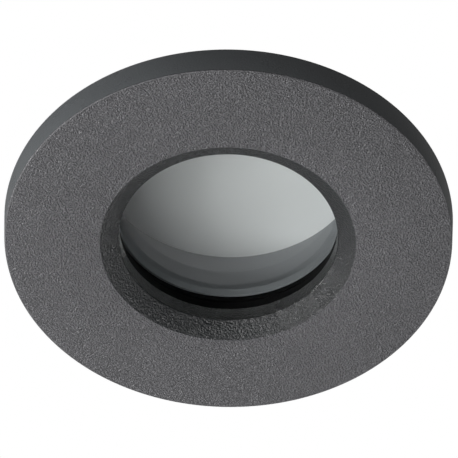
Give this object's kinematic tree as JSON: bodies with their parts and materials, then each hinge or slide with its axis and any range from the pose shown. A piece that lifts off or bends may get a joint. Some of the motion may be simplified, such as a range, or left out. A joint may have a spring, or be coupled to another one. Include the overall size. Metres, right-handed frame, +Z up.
{
  "type": "recessed wall light",
  "caption": "Round recessed wall light: dark textured bezel with a chamfered opening, set-back clear lens and diffuser, finned heat sink, terminal housing and sprung clips.",
  "frame": {"origin": "centre of the light, on the wall's surface, where the back of the flange rests", "axes": "+Y into the wall along the light's axis, +Z up, +X to the right of someone who faces the light"},
  "size_m": [0.098, 0.0966, 0.098],
  "materials": {
    "bezel_coat": "fine-textured matt powder coat",
    "clear_glass": "polished toughened glass",
    "black_silicone": "matt moulded silicone",
    "black_foam": "closed-cell foam",
    "satin_aluminium": "satin anodised, grey",
    "opal_diffuser": "opal sheet, unlit",
    "white_plastic": "matt white moulding",
    "white_board": "white solder mask on aluminium",
    "led_package": "cast phosphor in a white frame",
    "black_component": "moulded chip body",
    "zinc_steel": "bright zinc plate",
    "spring_steel": "drawn stainless wire",
    "cast_aluminium": "fine bead-blasted casting",
    "satin_fin_aluminium": "rolled sheet, mill finish",
    "thermal_grey": "soft filled silicone sheet",
    "black_nylon": "moulded glass-filled nylon",
    "grey_nylon": "moulded light grey nylon",
    "brass": "nickel-free machined brass",
    "brown_insulation": "extruded wire insulation",
    "blue_insulation": "extruded wire insulation",
    "earth_insulation": "extruded wire insulation",
    "solder": "bright solder",
    "grey_rubber": "moulded rubber"
  },
  "bodies": {
    "root": {"bezel": "bezel_coat", "lens_glass": "clear_glass", "lens_gasket": "black_silicone", "lens_retaining_ring": "satin_aluminium", "flange_gasket": "black_foam", "light_chamber": "satin_aluminium", "diffuser": "opal_diffuser", "mixing_ring": "white_plastic", "led_board": "white_board", "led_chips": "led_package", "board_components": "black_component", "board_screws": "zinc_steel", "thermal_pad": "thermal_grey", "heat_sink": "cast_aluminium", "heat_sink_fins": "satin_fin_aluminium", "heat_sink_seal": "black_silicone", "heat_sink_screws": "zinc_steel", "housing_gasket": "grey_rubber", "terminal_housing": "black_nylon", "housing_screws": "zinc_steel", "terminal_block": "grey_nylon", "terminal_clamps": "brass", "terminal_screws": "zinc_steel", "lead_grommets": "black_silicone", "live_lead": "brown_insulation", "neutral_lead": "blue_insulation", "solder_joints": "solder", "earth_lead": "earth_insulation", "earth_tag": "brass", "earth_screw": "zinc_steel", "cover_gasket": "grey_rubber", "terminal_cover": "black_nylon", "cover_screws": "zinc_steel", "gland_washer": "grey_rubber", "gland_body": "black_nylon", "gland_locknut": "black_nylon", "gland_seal": "black_silicone", "gland_dome_nut": "black_nylon", "right_clip_bracket": "zinc_steel", "right_bracket_screws": "zinc_steel", "right_clip_pin": "zinc_steel", "right_clip_spring": "spring_steel", "left_clip_bracket": "zinc_steel", "left_bracket_screws": "zinc_steel", "left_clip_pin": "zinc_steel", "left_clip_spring": "spring_steel"},
    "right_clip": {"right_clip_arm": "zinc_steel", "right_clip_pad": "black_silicone"},
    "left_clip": {"left_clip_arm": "zinc_steel", "left_clip_pad": "black_silicone"}
  },
  "joints": [
    {"name": "right_clip_hinge", "type": "hinge", "parent": "root", "child": "right_clip", "pos_m": [0.0389, 0.016, 0], "axis": [0, 0, 1], "range_deg": [0, 158.5], "stiffness_Nm_per_rad": 0.03, "springref_deg": -45.84, "deforming": ["right_clip_spring"]},
    {"name": "left_clip_hinge", "type": "hinge", "parent": "root", "child": "left_clip", "pos_m": [-0.0389, 0.016, 0], "axis": [0, 0, -1], "range_deg": [0, 158.5], "stiffness_Nm_per_rad": 0.03, "springref_deg": -45.84, "deforming": ["left_clip_spring"]}
  ]
}
